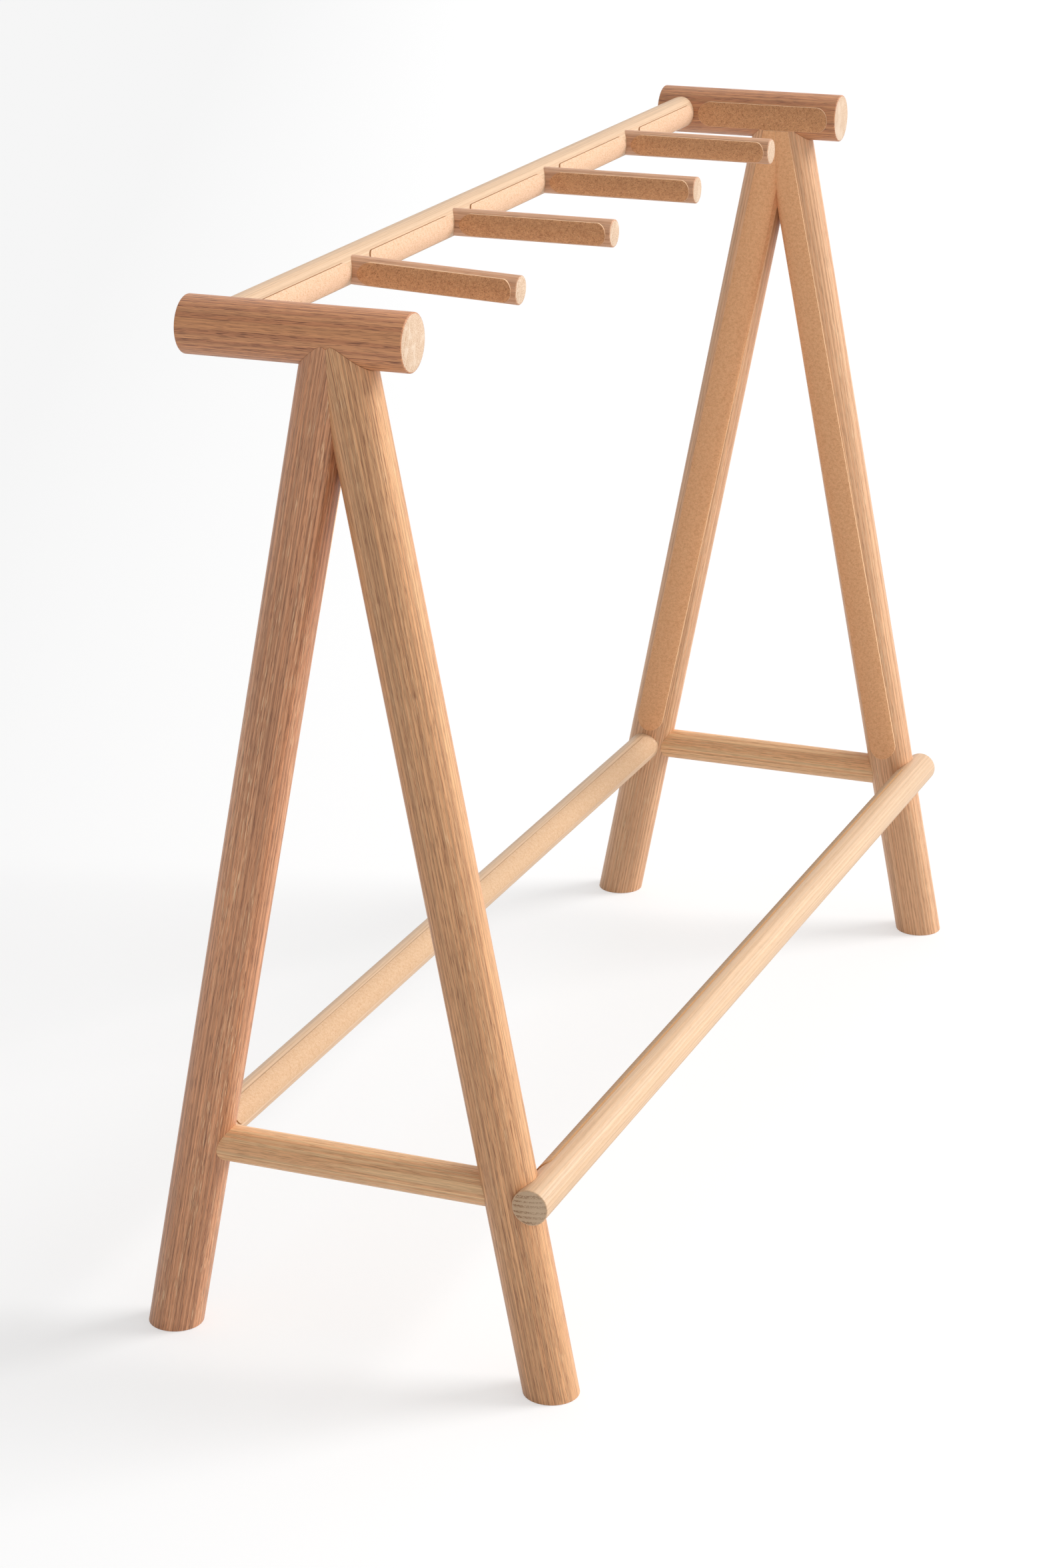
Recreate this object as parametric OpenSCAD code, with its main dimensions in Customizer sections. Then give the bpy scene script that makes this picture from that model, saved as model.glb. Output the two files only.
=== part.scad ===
// Saddle rack: two A-shaped end frames of round oak bars, joined by a top rail with four
// side pegs and by two lower rails. Thin cork strips line the faces that touch leather.
// X runs the way the pegs point, Y along the rack, Z up. The origin is on the floor, centred.

/* [Stand] */
// Height from the floor to the top of the head bars
height = 921; // [800:1:1050]
// Distance between the centre planes of the two end frames
frame_spacing = 1125; // [1080:5:1300]
// Lean of each leg from upright, in degrees
leg_angle = 11; // [9.5:0.5:12.5]
// Height of the point where the leg axes meet, above the head bar's axis
apex_rise = 18; // [14:1:22]
// Height of the crossbars' and lower rails' axes
lower_height = 182; // [140:2:260]

/* [Bars] */
// Diameter of a leg
leg_d = 48; // [44:1:50]
// Diameter of a head bar
head_d = 48; // [46:1:54]
// Length of a head bar to the left of the apex, the side that carries the top rail
head_left = 132; // [130:1:160]
// Length of a head bar to the right of the apex
head_right = 64; // [58:1:90]
// Diameter of the top rail
top_rail_d = 32; // [28:1:34]
// Distance from the apex to the top rail's axis
top_rail_offset = 107; // [90:1:111]
// Diameter of the two lower rails
lower_rail_d = 32; // [28:1:34]
// Depth of the housing that takes the right-hand lower rail, cut into the leg's outer side
housing_depth = 15; // [9:0.5:16]
// Diameter of a crossbar
crossbar_d = 32; // [28:1:34]
// Edge bevel on the ends of the bars
arris = 1; // [0.4:0.2:2]

/* [Pegs] */
// Number of pegs
peg_count = 4; // [2:1:4]
// Diameter of a peg
peg_d = 25; // [20:1:27]
// Distance from the front frame's centre plane to the first peg
first_peg = 240; // [150:5:260]
// Distance from one peg to the next
peg_pitch = 223; // [150:1:250]
// Distance from the top rail's axis to the end of a peg
peg_reach = 165; // [100:1:220]
// Droop of the first peg, from level to its tip, in degrees
first_peg_droop = 2.4; // [0:0.2:3]

/* [Joints] */
// Width of the glue line between mating pieces
glue_line = 0.1; // [0.05:0.05:0.2]
// Diameter of the turned tenons on the rails and crossbars
tenon_d = 16; // [12:1:18]
// Distance from each tenon's end to the axis of the bar that holds it
tenon_stop = 10; // [9.5:0.5:12]
// Diameter of the turned tenon on a peg
peg_tenon_d = 14; // [10:1:16]
// Depth of a peg's tenon in the top rail
peg_tenon_depth = 22; // [16:1:23]
// Diameter of the upright dowels that hold a head bar on its legs
apex_dowel_d = 10; // [6:1:10]
// Length of those dowels
apex_dowel_l = 56; // [44:1:60]
// Distance of each of those dowels from the apex
apex_dowel_offset = 14; // [11:0.5:15]
// Diameter of the dowel across the mitre between two legs
mitre_dowel_d = 8; // [5:1:8]
// Length of that dowel
mitre_dowel_l = 32; // [20:1:34]
// Diameter of the pins that hold the right-hand lower rail in its housings
rail_pin_d = 8; // [6:1:10]
// Length of those pins
rail_pin_l = 18; // [14:1:18]

/* [Cork] */
// Thickness that a cork strip stands proud
cork_t = 1.2; // [0.8:0.1:2]
// Width of the strips on the rails and pegs, measured round the bar
cork_w = 20.5; // [16:0.5:26]
// Width of the strips on the head bars, measured round the bar
head_cork_w = 26; // [18:1:30]
// Width of the strips on the legs, measured round the leg
leg_cork_w = 30; // [18:1:32]
// Lean of a leg's strip across the leg, inwards to the top, in degrees
leg_cork_lean = 0.6; // [0:0.1:0.7]
// Bare wood between a strip's end and the next joint
cork_gap = 5; // [3:0.5:8]
// Bare wood behind each peg before the top rail's next strip
cork_lead = 12; // [4:0.5:20]
// Bare wood between a strip and the free end of a head bar
head_cork_end = 8; // [4:0.5:12]
// Bare wood between a strip and the free end of a peg
peg_cork_end = 4; // [3:0.5:10]
// Turn of the lower rails' strips, upwards from facing the middle of the rack, in degrees
lower_cork_turn = 37; // [0:1:45]

/* [Hidden] */
$fn = 96;

LEFT = -1;
RIGHT = 1;

oak_dark = "#a97f5f";
oak_leg = "#b98d68";
oak_light = "#dcb88e";
oak_honey = "#cda273";
dowel_wood = "#e2c79e";
cork_tan = "#b98a5f";

head_z = height - head_d / 2;
apex_z = head_z + apex_rise;
foot_x = apex_z * tan(leg_angle);
frame_y = frame_spacing / 2;
top_rail_x = -top_rail_offset;
bore_play = 0.5;       // extra depth behind a tenon or dowel, for glue
end_round = 1.02;      // radius of a strip's end, in half widths: just more than a half circle's

// distance from the middle to a leg's axis at a height
function leg_x(z) = (apex_z - z) * tan(leg_angle);
// distance of a peg's axis from the middle, along the rack
function peg_y(i) = -frame_y + first_peg + (i - 1) * peg_pitch;
// how far a peg leans down from level
function peg_droop(i) = i == 1 ? first_peg_droop : 0;

// the right-hand lower rail lies in its housings, square out from the leg
lower_rail_out = leg_d / 2 + lower_rail_d / 2 - housing_depth;
housing_leg_z = lower_height - lower_rail_out * sin(leg_angle);
lower_right_x = leg_x(housing_leg_z) + lower_rail_out * cos(leg_angle);
lower_left_x = -leg_x(lower_height);
// the pin reaches from the rail's heart to just past the leg's
pin_start = lower_rail_out - 5 + bore_play - rail_pin_l;

// the mitre runs from the crotch between the legs to the head bar
crotch_z = apex_z - leg_d / 2 / sin(leg_angle);
head_under_z = head_z - head_d / 2;
apex_dowel_top = head_z - 3;
apex_dowel_foot = apex_dowel_top - apex_dowel_l;
mitre_dowel_z = (crotch_z + apex_dowel_foot) / 2;

// half the width of a strip, seen square on
function cork_half(r, w) = (r + cork_t) * sin(w / (2 * r) * 180 / PI);
head_cork_half = cork_half(head_d / 2, head_cork_w);

// ---------- shared forms ----------

// mirrors a front piece to the rear end
module at_rear() {
    mirror([0, 1, 0]) children();
}

// puts a piece that stands on Z along the X axis, starting at x
module along_x(x, y, z) {
    translate([x, y, z]) rotate([90, 0, 90]) children();
}

// puts a piece that stands on Z along the Y axis, starting at y
module along_y(x, y, z) {
    translate([x, y, z]) rotate([-90, 0, 0]) children();
}

// the frame of a front leg: Z up its axis from the floor, X towards the right
module on_leg(side) {
    translate([side * foot_x, -frame_y, 0]) rotate([0, -side * leg_angle, 0]) children();
}

// the frame of a peg: X along it from the top rail's axis
module at_peg(i) {
    translate([top_rail_x, peg_y(i), head_z]) rotate([0, peg_droop(i), 0]) children();
}

// round bar with bevelled ends
module round_bar(d, l) {
    rotate_extrude()
        polygon([[0, 0], [d / 2 - arris, 0], [d / 2, arris],
                 [d / 2, l - arris], [d / 2 - arris, l], [0, l]]);
}

// the space that a leg fills, without its joints, grown by a margin
module leg_space(side, margin) {
    on_leg(side)
        translate([0, 0, -leg_d])
            cylinder(r = leg_d / 2 + margin, h = apex_z / cos(leg_angle) + leg_d);
}

// the space that the front head bar fills, grown by a margin
module head_space(margin) {
    along_x(-head_left - margin, -frame_y, head_z)
        cylinder(r = head_d / 2 + margin, h = head_left + head_right + 2 * margin);
}

// the space of the upright dowels in the front frame
module apex_dowel_space(margin, play) {
    for (side = [LEFT, RIGHT])
        translate([side * apex_dowel_offset, -frame_y, apex_dowel_foot - play])
            cylinder(d = apex_dowel_d + 2 * margin, h = apex_dowel_l + 2 * play);
}

// the space of the dowel across the front mitre
module mitre_dowel_space(margin, play) {
    along_x(-mitre_dowel_l / 2 - play, -frame_y, mitre_dowel_z)
        cylinder(d = mitre_dowel_d + 2 * margin, h = mitre_dowel_l + 2 * play);
}

// the space of the pin through the front housing
module rail_pin_space(margin, play) {
    on_leg(RIGHT)
        translate([0, 0, housing_leg_z / cos(leg_angle)])
            along_x(pin_start - play, 0, 0)
                cylinder(d = rail_pin_d + 2 * margin, h = rail_pin_l + 2 * play);
}

// the space of a tenon along Y into the front frame, up to its stop
module front_tenon_space(x, z, margin, play) {
    along_y(x, -frame_y + tenon_stop - play, z)
        cylinder(d = tenon_d + 2 * margin, h = head_d + leg_d);
}

// the space of the front crossbar's tenons
module crossbar_tenon_space(margin, play) {
    reach = leg_x(lower_height) - tenon_stop + play;
    along_x(-reach, -frame_y, lower_height)
        cylinder(d = tenon_d + 2 * margin, h = 2 * reach);
}

// outline of a strip: a bar with round ends, along X
module stadium(l, half) {
    translate([half, 0]) circle(r = half);
    translate([l - half, 0]) circle(r = half);
    translate([half, -half]) square([l - 2 * half, 2 * half]);
}

// the prism that cuts a strip to its outline: along Z, open towards X
module strip_cutter(r, half, l) {
    depth = r + cork_t + 1;
    rotate([0, -90, 0])
        translate([0, 0, -depth])
            linear_extrude(depth)
                stadium(l, half);
}

// the shell of cork round a bar that stands on Z
module cork_shell(r, l) {
    difference() {
        cylinder(r = r + cork_t, h = l);
        translate([0, 0, -1]) cylinder(r = r + glue_line, h = l + 2);
    }
}

// section of a strip on a bar, seen along the bar
module strip_section(r, half) {
    intersection() {
        difference() {
            circle(r = r + cork_t);
            circle(r = r + glue_line);
        }
        translate([0, -half]) square([r + cork_t + 1, 2 * half]);
    }
}

// cuts the corners off the lower end of a strip
module end_rounding(r, half) {
    depth = r + cork_t + 1;
    round_r = half * end_round;
    rotate([0, -90, 0])
        translate([0, 0, -depth])
            linear_extrude(depth)
                difference() {
                    translate([-1, -half - 1]) square([half + 1, 2 * half + 2]);
                    translate([round_r, 0]) circle(r = round_r);
                }
}

// cork strip with rounded ends on a bar that stands on Z, facing X
module cork_strip(r, w, l) {
    half = cork_half(r, w);
    color(cork_tan)
        difference() {
            linear_extrude(l) strip_section(r, half);
            end_rounding(r, half);
            translate([0, 0, l]) mirror([0, 0, 1]) end_rounding(r, half);
        }
}

// ---------- wooden bars ----------

module head_bar_front() {
    color(oak_dark)
        difference() {
            along_x(-head_left, -frame_y, head_z) round_bar(head_d, head_left + head_right);
            front_tenon_space(top_rail_x, head_z, glue_line, bore_play);
            apex_dowel_space(glue_line, bore_play);
        }
}

// the bevel round the foot, cut by a cone that opens upwards
module foot_bevel(side) {
    depth = 4 * arris;
    translate([side * foot_x, -frame_y, -1])
        difference() {
            cylinder(r = leg_d, h = depth + 1);
            cylinder(r1 = leg_d / 2 - arris - 1, r2 = leg_d / 2 - arris + depth, h = depth + 1);
        }
}

// a front leg: mitred against its neighbour, coped under the head bar, bored for its joints
module leg_front(side) {
    color(oak_leg)
        difference() {
            intersection() {
                leg_space(side, 0);
                translate([side > 0 ? glue_line / 2 : -foot_x - leg_d, -frame_y - leg_d, 0])
                    cube([foot_x + leg_d - glue_line / 2, 2 * leg_d, head_z]);
            }
            head_space(glue_line);
            foot_bevel(side);
            apex_dowel_space(glue_line, bore_play);
            mitre_dowel_space(glue_line, bore_play);
            crossbar_tenon_space(glue_line, bore_play);
            if (side == LEFT) front_tenon_space(lower_left_x, lower_height, glue_line, bore_play);
            if (side == RIGHT) {
                lower_right_space(glue_line);
                rail_pin_space(glue_line, bore_play);
            }
        }
}

// crossbar, coped against the inner sides of both legs, with a turned tenon at each end
module crossbar_front() {
    half_l = leg_x(lower_height);
    color(oak_honey) {
        difference() {
            along_x(-half_l, -frame_y, lower_height) cylinder(d = crossbar_d, h = 2 * half_l);
            leg_space(LEFT, glue_line);
            leg_space(RIGHT, glue_line);
        }
        crossbar_tenon_space(0, 0);
    }
}

// top rail, coped against both head bars, with tenons into them and bores for the pegs
module top_rail() {
    color(oak_light)
        difference() {
            union() {
                difference() {
                    along_y(top_rail_x, -frame_y, head_z) cylinder(d = top_rail_d, h = frame_spacing);
                    head_space(glue_line);
                    at_rear() head_space(glue_line);
                }
                along_y(top_rail_x, -frame_y + tenon_stop, head_z)
                    cylinder(d = tenon_d, h = frame_spacing - 2 * tenon_stop);
            }
            for (i = [1 : peg_count])
                at_peg(i)
                    along_x(top_rail_d / 2 - peg_tenon_depth - bore_play, 0, 0)
                        cylinder(d = peg_tenon_d + 2 * glue_line, h = peg_reach);
        }
}

// left lower rail, coped against the left legs, with tenons into them
module lower_rail_left() {
    color(oak_light) {
        difference() {
            along_y(lower_left_x, -frame_y, lower_height) cylinder(d = lower_rail_d, h = frame_spacing);
            leg_space(LEFT, glue_line);
            at_rear() leg_space(LEFT, glue_line);
        }
        along_y(lower_left_x, -frame_y + tenon_stop, lower_height)
            cylinder(d = tenon_d, h = frame_spacing - 2 * tenon_stop);
    }
}

// the space that the right lower rail fills, grown by a margin
module lower_right_space(margin) {
    along_y(lower_right_x, -frame_y - leg_d / 2 - 2 * margin, lower_height)
        cylinder(r = lower_rail_d / 2 + margin, h = frame_spacing + leg_d + 4 * margin);
}

// right lower rail, full length, flush with the outer faces of the legs it is housed in
module lower_rail_right() {
    color(oak_light)
        difference() {
            along_y(lower_right_x, -frame_y - leg_d / 2, lower_height)
                round_bar(lower_rail_d, frame_spacing + leg_d);
            rail_pin_space(glue_line, bore_play);
            at_rear() rail_pin_space(glue_line, bore_play);
        }
}

// peg, coped against the top rail, with a turned tenon into it
module peg(i) {
    color(oak_honey)
        at_peg(i) {
            difference() {
                along_x(0, 0, 0) round_bar(peg_d, peg_reach);
                along_y(0, -peg_d, 0) cylinder(r = top_rail_d / 2 + glue_line, h = 2 * peg_d);
            }
            along_x(top_rail_d / 2 - peg_tenon_depth, 0, 0)
                cylinder(d = peg_tenon_d, h = peg_tenon_depth + peg_d / 2);
        }
}

// ---------- hidden joinery ----------

module apex_dowels_front() {
    color(dowel_wood) apex_dowel_space(0, 0);
}

module mitre_dowel_front() {
    color(dowel_wood) mitre_dowel_space(0, 0);
}

module rail_pin_front() {
    color(dowel_wood) rail_pin_space(0, 0);
}

// ---------- cork strips ----------

// head bar's strip: it bends over the bar and over the tips of the legs below it
module cork_head_front() {
    start = top_rail_x + top_rail_d / 2 + cork_gap;
    color(cork_tan)
        intersection() {
            difference() {
                union() {
                    head_space(cork_t);
                    leg_tips(cork_t);
                }
                head_space(glue_line);
                leg_tips(glue_line);
            }
            along_x(start, -frame_y, head_z)
                strip_cutter(head_d / 2, head_cork_half, head_right - head_cork_end - start);
        }
}

// the tops of both front legs, from the head bar's strip to the middle of the bar
module leg_tips(margin) {
    intersection() {
        union() {
            leg_space(LEFT, margin);
            leg_space(RIGHT, margin);
        }
        translate([-leg_d, -frame_y - leg_d, head_under_z]) cube([2 * leg_d, 2 * leg_d, head_d / 2]);
    }
}

// leg's strip: from above the crossbar up to the head bar's strip, cut at the mitre
module cork_leg_front(side) {
    foot_s = (lower_height + max(crossbar_d, lower_rail_d) / 2 + cork_gap) / cos(leg_angle);
    top_z = head_z - head_cork_half - glue_line;
    color(cork_tan)
        intersection() {
            on_leg(side)
                intersection() {
                    cork_shell(leg_d / 2, apex_z / cos(leg_angle));
                    translate([0, 0, foot_s])
                        rotate([0, -side * leg_cork_lean, 0])
                            rotate([0, 0, 90])
                                strip_cutter(leg_d / 2, cork_half(leg_d / 2, leg_cork_w), apex_z);
                }
            translate([side > 0 ? glue_line / 2 : -foot_x - leg_d, -frame_y - leg_d, 0])
                cube([foot_x + leg_d - glue_line / 2, 3 * leg_d, top_z]);
        }
}

// top rail's strip in bay i: bay 1 is at the front head bar, the last at the rear one
module cork_top_rail(i) {
    start = i == 1 ? -frame_y + head_d / 2 + cork_gap : peg_y(i - 1) + peg_d / 2 + cork_lead;
    end = i > peg_count ? frame_y - head_d / 2 - cork_gap : peg_y(i) - peg_d / 2 - cork_gap;
    along_y(top_rail_x, start, head_z) cork_strip(top_rail_d / 2, cork_w, end - start);
}

// strips on the two sides of a peg; side 1 faces the rear
module cork_peg(i, side) {
    start = top_rail_d / 2 + cork_gap;
    at_peg(i)
        mirror([0, side > 0 ? 0 : 1, 0])
            along_x(start, 0, 0)
                cork_strip(peg_d / 2, cork_w, peg_reach - peg_cork_end - start);
}

// a lower rail's strip, turned up towards the middle of the rack
module cork_lower(x, turn) {
    half_l = frame_y - leg_d / 2 - cork_gap;
    translate([x, -half_l, lower_height])
        rotate([0, -turn, 0])
            rotate([-90, 0, 0])
                cork_strip(lower_rail_d / 2, cork_w, 2 * half_l);
}

head_bar_front();
at_rear() head_bar_front();  // head_bar_rear
leg_front(LEFT);  // leg_front_left
leg_front(RIGHT);  // leg_front_right
at_rear() leg_front(LEFT);  // leg_rear_left
at_rear() leg_front(RIGHT);  // leg_rear_right
crossbar_front();
at_rear() crossbar_front();  // crossbar_rear
top_rail();
lower_rail_left();
lower_rail_right();
peg(1);  // peg_1
peg(2);  // peg_2
peg(3);  // peg_3
peg(4);  // peg_4
apex_dowels_front();
at_rear() apex_dowels_front();  // apex_dowels_rear
mitre_dowel_front();
at_rear() mitre_dowel_front();  // mitre_dowel_rear
rail_pin_front();
at_rear() rail_pin_front();  // rail_pin_rear
cork_head_front();
at_rear() cork_head_front();  // cork_head_rear
cork_leg_front(LEFT);  // cork_leg_front_left
cork_leg_front(RIGHT);  // cork_leg_front_right
at_rear() cork_leg_front(LEFT);  // cork_leg_rear_left
at_rear() cork_leg_front(RIGHT);  // cork_leg_rear_right
cork_top_rail(1);  // cork_top_rail_1
cork_top_rail(2);  // cork_top_rail_2
cork_top_rail(3);  // cork_top_rail_3
cork_top_rail(4);  // cork_top_rail_4
cork_top_rail(5);  // cork_top_rail_5
cork_peg(1, -1);  // cork_peg_1_front
cork_peg(1, 1);  // cork_peg_1_rear
cork_peg(2, -1);  // cork_peg_2_front
cork_peg(2, 1);  // cork_peg_2_rear
cork_peg(3, -1);  // cork_peg_3_front
cork_peg(3, 1);  // cork_peg_3_rear
cork_peg(4, -1);  // cork_peg_4_front
cork_peg(4, 1);  // cork_peg_4_rear
cork_lower(lower_left_x, lower_cork_turn);  // cork_lower_left
cork_lower(lower_right_x, 180 - lower_cork_turn);  // cork_lower_right
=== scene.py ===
import math
import bmesh
import bpy
from mathutils import Euler, Matrix, Vector


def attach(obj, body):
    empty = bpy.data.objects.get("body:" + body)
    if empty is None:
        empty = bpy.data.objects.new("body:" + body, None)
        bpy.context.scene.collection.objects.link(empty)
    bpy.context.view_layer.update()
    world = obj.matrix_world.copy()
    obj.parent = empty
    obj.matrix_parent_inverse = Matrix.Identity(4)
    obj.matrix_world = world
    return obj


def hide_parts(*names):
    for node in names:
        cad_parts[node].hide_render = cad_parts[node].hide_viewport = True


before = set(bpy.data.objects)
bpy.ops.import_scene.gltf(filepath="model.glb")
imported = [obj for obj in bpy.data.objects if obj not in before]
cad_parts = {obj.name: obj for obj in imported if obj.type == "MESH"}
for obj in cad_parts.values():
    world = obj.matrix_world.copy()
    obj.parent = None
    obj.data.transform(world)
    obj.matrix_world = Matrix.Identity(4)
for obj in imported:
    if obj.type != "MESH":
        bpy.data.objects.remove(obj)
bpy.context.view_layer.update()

# Saddle rack: two A-shaped end frames of round oak bars, a top rail with four side pegs, two
# lower rails, and cork strips where leather rests.
# Metres, Z up. X is the way the pegs point, Y runs along the rack.
mm = 0.001
rack = {
    "height": 921 * mm,           # floor to the top of the head bars
    "frameSpacing": 1125 * mm,    # between the middles of the two end frames
    "legAngle": math.radians(11),
    "apexRise": 18 * mm,          # the leg axes meet this far above a head bar's axis
    "lowerHeight": 182 * mm,      # axes of the crossbars and lower rails
    "facets": 96,                 # round every bar
}
joinery = {
    "glueLine": 0.1 * mm,
    "spareDepth": 0.5 * mm,       # left empty at the bottom of a bore
    "tenonRadius": 8 * mm,
    "tenonStop": 10 * mm,         # tenon's end to the axis of the bar that holds it
    "dowelFacets": 32,
    "overrun": 50 * mm,           # how far a cutter reaches past the wood
    "weld": 0.01 * mm,            # corners closer than this are one
}
left, right = -1, 1
front, rear = -1, 1
along = {"x": (0, math.pi / 2, 0), "y": (-math.pi / 2, 0, 0), "z": (0, 0, 0)}
mirrorX, mirrorY = Matrix.Scale(-1, 4, (1, 0, 0)), Matrix.Scale(-1, 4, (0, 1, 0))
endWord = {front: "front", rear: "rear"}
sideWord = {left: "left", right: "right"}


def clearSelection():
    bpy.ops.object.select_all(action="DESELECT")


def takeUp(piece):
    clearSelection()
    piece.select_set(True)
    bpy.context.view_layer.objects.active = piece


def settle(piece):
    takeUp(piece)
    bpy.ops.object.transform_apply(location=True, rotation=True, scale=True)
    return piece


def addBar(name, start, turn, radius, length, facets=None):
    direction = Euler(turn).to_matrix() @ Vector((0, 0, 1))
    clearSelection()
    bpy.ops.mesh.primitive_cylinder_add(
        vertices=facets or rack["facets"], radius=radius, depth=length,
        location=Vector(start) + direction * (length / 2), rotation=turn)
    bar = bpy.context.object
    bar.name = name
    return settle(bar)


def copyPiece(piece, name, move):
    # a twin with its own mesh, moved or mirrored in that mesh
    takeUp(piece)
    bpy.ops.object.duplicate(linked=False)
    twin = bpy.context.object
    twin.name = name
    twin.data.transform(move)
    if move.determinant() < 0:
        twin.data.flip_normals()
    return twin


def pickFaces(piece, wanted):
    # leaves edit mode on, with the faces selected that answer to wanted(face)
    takeUp(piece)
    bpy.ops.object.mode_set(mode="EDIT")
    bpy.ops.mesh.select_mode(type="FACE")
    bpy.ops.mesh.select_all(action="DESELECT")
    net = bmesh.from_edit_mesh(piece.data)
    for face in net.faces:
        face.select_set(wanted(face))
    net.select_flush_mode()
    bmesh.update_edit_mesh(piece.data)


def breakEdges(piece, wanted, width, steps=3):
    # rounds the rim of the chosen faces
    pickFaces(piece, wanted)
    bpy.ops.mesh.region_to_loop()
    bpy.ops.mesh.bevel(offset=width, segments=steps, affect="EDGES")
    bpy.ops.object.mode_set(mode="OBJECT")


def carve(piece, cutter, operation="DIFFERENCE"):
    takeUp(piece)
    cut = piece.modifiers.new("cut", "BOOLEAN")
    cut.operation = operation
    cut.solver = "EXACT"
    cut.object = cutter
    bpy.ops.object.modifier_apply(modifier=cut.name)
    bpy.data.objects.remove(cutter)


def addBore(start, turn, radius, length):
    # cutter for a dowel or tenon of this radius, with room for glue
    return addBar("bore", start, turn, radius + joinery["glueLine"], length,
                  joinery["dowelFacets"])


def slicePlane(piece, place, normal):
    # cuts away what lies on the normal's side, and closes the cut
    takeUp(piece)
    bpy.ops.object.mode_set(mode="EDIT")
    bpy.ops.mesh.select_mode(type="VERT")
    bpy.ops.mesh.select_all(action="SELECT")
    bpy.ops.mesh.bisect(plane_co=place, plane_no=normal, use_fill=True, clear_outer=True)
    bpy.ops.object.mode_set(mode="OBJECT")


def tidySurface(piece, smoothAngle=math.radians(35)):
    takeUp(piece)
    bpy.ops.object.mode_set(mode="EDIT")
    bpy.ops.mesh.select_mode(type="VERT")
    bpy.ops.mesh.select_all(action="SELECT")
    bpy.ops.mesh.remove_doubles(threshold=joinery["weld"])
    bpy.ops.mesh.normals_make_consistent(inside=False)
    bpy.ops.object.mode_set(mode="OBJECT")
    bpy.ops.object.shade_smooth_by_angle(angle=smoothAngle)


def standIn(piece, node):
    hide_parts(node)
    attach(piece, "root")


def toLinear(hexColour):
    values = [int(hexColour[i:i + 2], 16) / 255 for i in (1, 3, 5)]
    linear = [v / 12.92 if v <= 0.04045 else ((v + 0.055) / 1.055) ** 2.4 for v in values]
    return (*linear, 1.0)


def addNode(tree, kind, settings=None, inputs=None, ramp=None):
    node = tree.nodes.new(kind)
    for name, value in (settings or {}).items():
        setattr(node, name, value)
    for name, value in (inputs or {}).items():
        if isinstance(value, bpy.types.NodeSocket):
            tree.links.new(value, node.inputs[name])
        else:
            node.inputs[name].default_value = value
    if ramp:
        stops = node.color_ramp.elements
        while len(stops) < len(ramp):
            stops.new(0.5)
        for stop, (position, colour) in zip(stops, ramp):
            stop.position = position
            stop.color = toLinear(colour) if isinstance(colour, str) else (colour,) * 3 + (1,)
    return node


def newMaterial(name):
    material = bpy.data.materials.new(name)
    material.use_nodes = True
    material.node_tree.nodes.clear()
    return material, material.node_tree


# European oak, turned round, sanded and oiled thin: matt, straight in the grain, with fine
# fibres, dark dashes of open pores in each ring's early wood, and short pale ray flecks.
oak = {
    "roughness": 0.55,
    "ior": 1.47,
    "ringWidth": 3.2,             # mm
    "ringUneven": 2.5,            # how unlike the years are, in ring widths
    "ringDrift": 5.0,             # mm that the rings wander along a bar
    "driftSpan": 25.0,            # mm across the bar from one bulge of a ring to the next
    "driftStretch": 0.12,         # the bulges run long, with the grain
    "fibreWidth": 0.4,            # mm; real fibres are finer and are drawn as coarse as shows
    "fibreLength": 60.0,
    "strandWidth": 1.0,           # mm, bundles of fibres that share a tone
    "strandLength": 150.0,
    "patchWidth": 22.0,           # mm, broad lighter and darker zones
    "patchLength": 300.0,
    "poreWidth": 0.25,            # mm
    "poreLength": 8.0,
    "rayWidth": 0.3,              # mm
    "rayLength": 9.0,
    "rayZoneWidth": 5.0,          # mm, rays come in groups
    "rayZoneLength": 110.0,
    "relief": 0.12 * mm,
    "reliefStrength": 0.6,
    "oil": 0.3,                   # a thin skin of hard oil, which pales the bars' edges
    "oilRoughness": 0.4,
    "endRoughness": 0.7,
    "endDrift": 4.0,              # mm
    "endPoreWidth": 0.45,         # mm; real pores are 0.3 mm and are drawn as coarse as shows
    "endPoreLength": 60.0,
}
# light and dark wood of the rings, pores and pale rays, and how strongly each shows. The tones
# differ from piece to piece partly as real oak does and partly as painted light: the rear legs,
# the right front leg and the pale top and lower rails are set lighter to stand for the sun on
# them.
oakTones = {
    "head": {"light": "#d59566", "dark": "#c6845a", "pore": "#683a24", "ray": "#edb27e",
             "pores": 0.85, "rays": 0.1, "fibres": 0.26},
    "legLeft": {"light": "#dd9f75", "dark": "#cd8d63", "pore": "#76472e", "ray": "#fad2a6",
                "pores": 0.75, "rays": 0.95, "fibres": 0.44},
    # partly painted light: lighter than the left leg's tone, for the sun on the right front leg
    "legRight": {"light": "#e2ab7a", "dark": "#d4996a", "pore": "#834f2e", "ray": "#ffd7a7",
                 "pores": 0.75, "rays": 0.5, "fibres": 0.4},
    # painted light: the rear legs' tone is lighter to stand for light on the far frame
    "legRear": {"light": "#ebb88c", "dark": "#dca478", "pore": "#8f6040", "ray": "#fae7bc",
                "pores": 0.5, "rays": 0.4, "fibres": 0.26},
    "peg": {"light": "#daa782", "dark": "#cc966f", "pore": "#85573a", "ray": "#edbe96",
            "pores": 0.45, "rays": 0.1, "fibres": 0.2},
    "cross": {"light": "#efc392", "dark": "#ebb280", "pore": "#9c6e46", "ray": "#efe1b1",
              "pores": 0.5, "rays": 0.3, "fibres": 0.24},
    # painted light: the top and lower rails' pale tone stands for the sun on them
    "pale": {"light": "#debb97", "dark": "#d7b18b", "pore": "#c29a74", "ray": "#e6cbaf",
             "pores": 0.3, "rays": 0.15, "fibres": 0.13},
}
endTones = {
    "pale": {"wood": "#dec3a8", "pore": "#b98f6b", "ray": "#ead6c0"},
    "brown": {"wood": "#d0b08f", "pore": "#99704e", "ray": "#dfc6a9"},
}


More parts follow.
